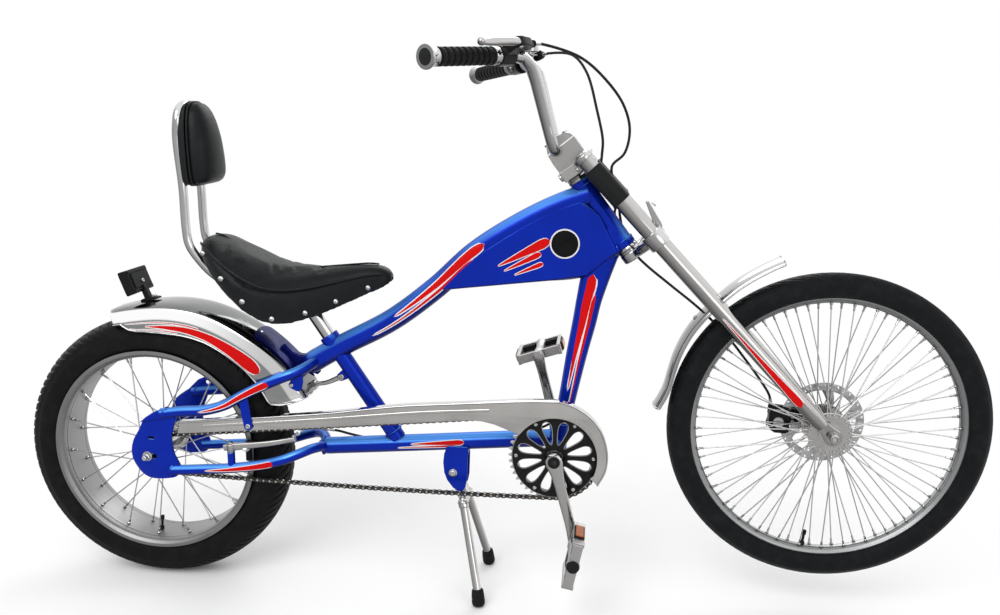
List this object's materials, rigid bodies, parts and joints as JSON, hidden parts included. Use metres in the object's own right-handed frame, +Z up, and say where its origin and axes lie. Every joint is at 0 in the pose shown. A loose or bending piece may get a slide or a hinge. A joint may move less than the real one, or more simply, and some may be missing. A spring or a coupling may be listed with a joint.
{
  "type": "chopper bicycle",
  "caption": "Chopper bicycle with a fat rear tyre, long raked fork, high handlebar, padded saddle with backrest, chain drive and two brakes, standing on its centre stand.",
  "frame": {"origin": "middle of the bicycle's footprint, on the ground", "axes": "+X forwards along the bicycle, +Y to the rider's left, +Z up"},
  "size_m": [1.9076, 0.6236, 1.0892],
  "materials": {
    "leather": "satin black leather cloth",
    "chrome": "bright chrome",
    "steel": "plain steel",
    "alloy": "polished alloy",
    "black": "satin black",
    "plastic": "satin black",
    "dark": "oiled dark steel",
    "polished_alloy": "bright polished",
    "tyre": "matt black tread",
    "rubber": "matt black",
    "paint": "gloss blue"
  },
  "bodies": {
    "seat": {"backrest_pad": "leather", "saddle": "leather", "seat_post": "chrome", "sissy_bar": "chrome"},
    "steering": {"bar_end_left": "chrome", "bar_end_right": "chrome", "bell_base": "chrome", "bell_dome": "chrome", "brake_perch_left": "black", "brake_perch_right": "black", "cable_sleeve": "plastic", "disc_caliper": "black", "fork_leg_left": "polished_alloy", "fork_leg_right": "polished_alloy", "front_axle": "steel", "front_brake_cable": "plastic", "front_fender": "chrome", "grip_left": "rubber", "grip_right": "rubber", "handlebar": "chrome", "lower_crown": "polished_alloy", "rear_brake_cable_upper": "plastic", "stem": "alloy"},
    "bell_lever": {"bell_thumb_lever": "chrome"},
    "frame": {"bottom_bracket": "steel", "chain": "dark", "chain_guard": "chrome", "headset_lower": "chrome", "headset_upper": "chrome", "main_frame": "paint", "rear_axle": "steel", "rear_brake_cable_lower": "plastic", "rear_fender": "chrome", "rear_reflector": "plastic", "stays_left": "paint", "stays_right": "paint"},
    "lever_left": {"brake_lever_left": "alloy"},
    "lever_right": {"brake_lever_right": "alloy"},
    "brake_arm_right": {"brake_noodle": "steel", "rim_brake_arm_right": "alloy"},
    "front_wheel": {"brake_rotor": "steel", "front_hub_spokes": "steel", "front_rim": "alloy", "front_tyre": "tyre"},
    "caliper_arm": {"caliper_arm": "black"},
    "crank": {"chainring": "black", "crank_left": "alloy", "crank_right": "alloy"},
    "freewheel": {"freewheel_sprocket": "dark"},
    "pedal_left": {"pedal_left": "alloy"},
    "pedal_right": {"pedal_right": "alloy"},
    "rear_wheel": {"rear_hub_spokes": "steel", "rear_rim": "alloy", "rear_tyre": "tyre"},
    "brake_arm_left": {"rim_brake_arm_left": "alloy"},
    "seat_lever": {"seat_clamp_lever": "alloy"},
    "stand": {"stand_foot_left": "rubber", "stand_foot_right": "rubber", "stand_legs": "alloy"}
  },
  "joints": [
    {"name": "steering_turn", "type": "hinge", "parent": "frame", "child": "steering", "pos_m": [0.26815, 0, 0.705], "axis": [-0.6032, 0, 0.7976], "range_deg": [-38, 38]},
    {"name": "front_wheel_spin", "type": "hinge", "parent": "steering", "child": "front_wheel", "pos_m": [0.65315, 0, 0.3728], "axis": [0, 1, 0], "continuous": true},
    {"name": "rear_wheel_spin", "type": "hinge", "parent": "frame", "child": "rear_wheel", "pos_m": [-0.67785, 0, 0.276], "axis": [0, 1, 0], "continuous": true},
    {"name": "crank_turn", "type": "hinge", "parent": "frame", "child": "crank", "pos_m": [0.13815, 0, 0.31], "axis": [0, 1, 0], "continuous": true},
    {"name": "freewheel_turn", "type": "hinge", "parent": "frame", "child": "freewheel", "pos_m": [-0.67785, -0.0575, 0.276], "axis": [0, 1, 0], "continuous": true},
    {"name": "pedal_right_turn", "type": "hinge", "parent": "crank", "child": "pedal_right", "pos_m": [0.18085, -0.135, 0.15062], "axis": [0, 1, 0], "continuous": true},
    {"name": "pedal_left_turn", "type": "hinge", "parent": "crank", "child": "pedal_left", "pos_m": [0.09545, 0.135, 0.46938], "axis": [0, 1, 0], "continuous": true},
    {"name": "stand_fold", "type": "hinge", "parent": "frame", "child": "stand", "pos_m": [-0.06585, 0, 0.25], "axis": [0, 1, 0], "range_deg": [0, 70]},
    {"name": "brake_lever_right_pull", "type": "hinge", "parent": "steering", "child": "lever_right", "pos_m": [0.06853, -0.1722, 1.06846], "axis": [0.3998, -0.1904, -0.8966], "range_deg": [0, 12], "stiffness_Nm_per_rad": 1, "springref_deg": -5.73},
    {"name": "brake_lever_left_pull", "type": "hinge", "parent": "steering", "child": "lever_left", "pos_m": [0.06853, 0.1722, 1.06846], "axis": [-0.3998, -0.1904, 0.8966], "range_deg": [0, 12], "stiffness_Nm_per_rad": 1, "springref_deg": -5.73},
    {"name": "rim_brake_arm_right_swing", "type": "hinge", "parent": "frame", "child": "brake_arm_right", "pos_m": [-0.50385, -0.072, 0.3], "axis": [0, 0, 1], "range_deg": [0, 2.4]},
    {"name": "rim_brake_arm_left_swing", "type": "hinge", "parent": "frame", "child": "brake_arm_left", "pos_m": [-0.50385, 0.072, 0.3], "axis": [0, 0, 1], "range_deg": [-2.4, 0]},
    {"name": "caliper_arm_turn", "type": "hinge", "parent": "steering", "child": "caliper_arm", "pos_m": [0.57015, 0.049, 0.37], "axis": [0, 1, 0], "range_deg": [0, 18]},
    {"name": "bell_lever_push", "type": "hinge", "parent": "steering", "child": "bell_lever", "pos_m": [0.06601, 0.11104, 1.06617], "axis": [0, 0, 1], "range_deg": [0, 25], "stiffness_Nm_per_rad": 0.02},
    {"name": "seat_height", "type": "slide", "parent": "frame", "child": "seat", "axis": [-0.5505, 0, 0.8348], "range_m": [0, 0.05]},
    {"name": "seat_lever_open", "type": "hinge", "parent": "frame", "child": "seat_lever", "pos_m": [-0.29361, 0, 0.43722], "axis": [0, 1, 0], "range_deg": [-70, 0]}
  ],
  "couplings": [
    {"joint": "freewheel_turn", "follows": "crank_turn", "ratio": 2.3333},
    {"joint": "rim_brake_arm_right_swing", "follows": "brake_lever_right_pull", "ratio": 0.2},
    {"joint": "rim_brake_arm_left_swing", "follows": "brake_lever_right_pull", "ratio": -0.2},
    {"joint": "caliper_arm_turn", "follows": "brake_lever_left_pull", "ratio": 1.5}
  ]
}
